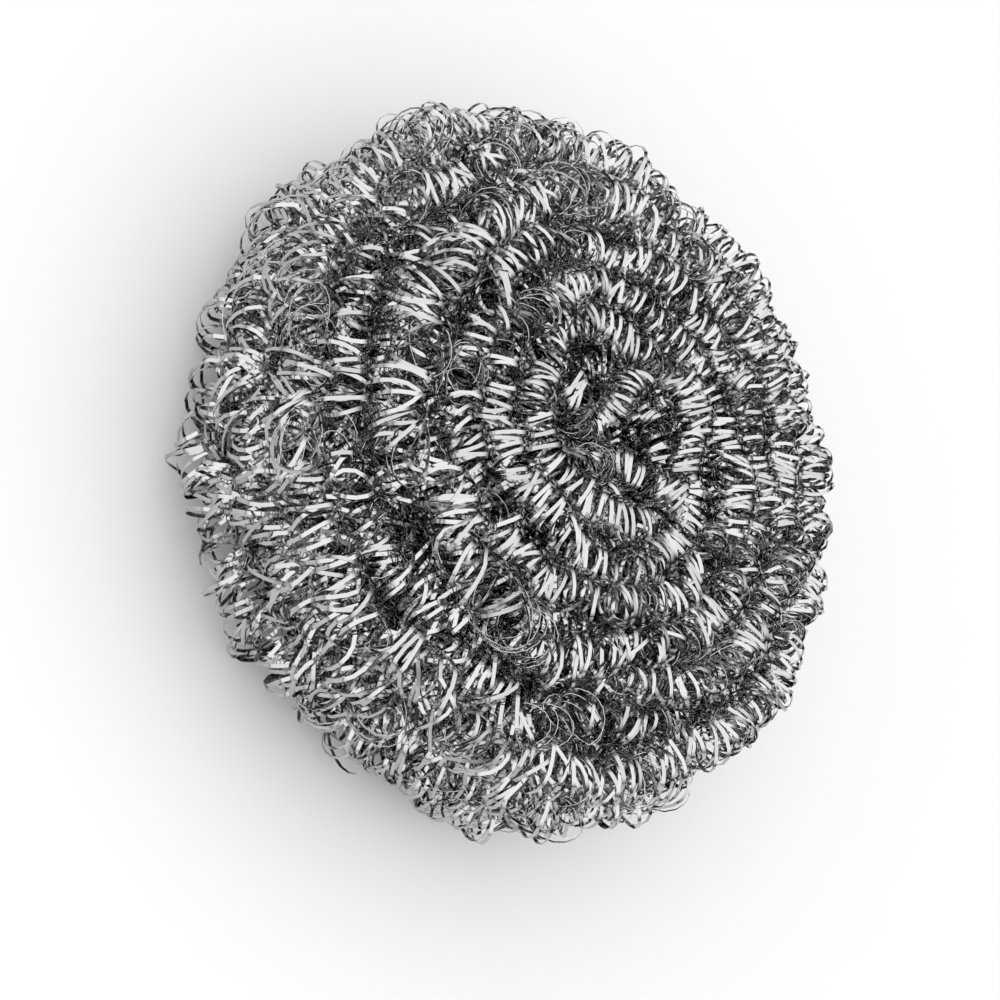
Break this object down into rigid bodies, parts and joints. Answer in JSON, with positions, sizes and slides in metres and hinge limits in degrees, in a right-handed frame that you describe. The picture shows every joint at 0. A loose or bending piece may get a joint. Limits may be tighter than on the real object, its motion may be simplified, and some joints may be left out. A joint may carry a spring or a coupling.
{
  "type": "pot scrubber",
  "caption": "Round scouring pad wound from strands of curled stainless-steel ribbon, tied through its eye; scrubs pots and pans by hand.",
  "frame": {"origin": "middle of the face that the pad rests on, on the axis of the winding", "axes": "+Z through the pad's thickness, from the back that it rests on to the front face; +X and +Y across the face, +X to the right and +Y up as the picture shows the front"},
  "size_m": [0.1, 0.0972, 0.0347],
  "materials": {
    "curled_ribbon": "bright rolled stainless ribbon",
    "tie_ribbon": "bright rolled stainless ribbon"
  },
  "bodies": {
    "root": {"back_strand": "curled_ribbon", "back_inner_strand": "curled_ribbon", "rim_back_strand": "curled_ribbon", "rim_strand": "curled_ribbon", "rim_front_strand": "curled_ribbon", "front_inner_strand": "curled_ribbon", "front_strand": "curled_ribbon", "centre_tie_1": "tie_ribbon", "centre_tie_2": "tie_ribbon", "centre_tie_3": "tie_ribbon", "centre_tie_4": "tie_ribbon"}
  },
  "joints": []
}
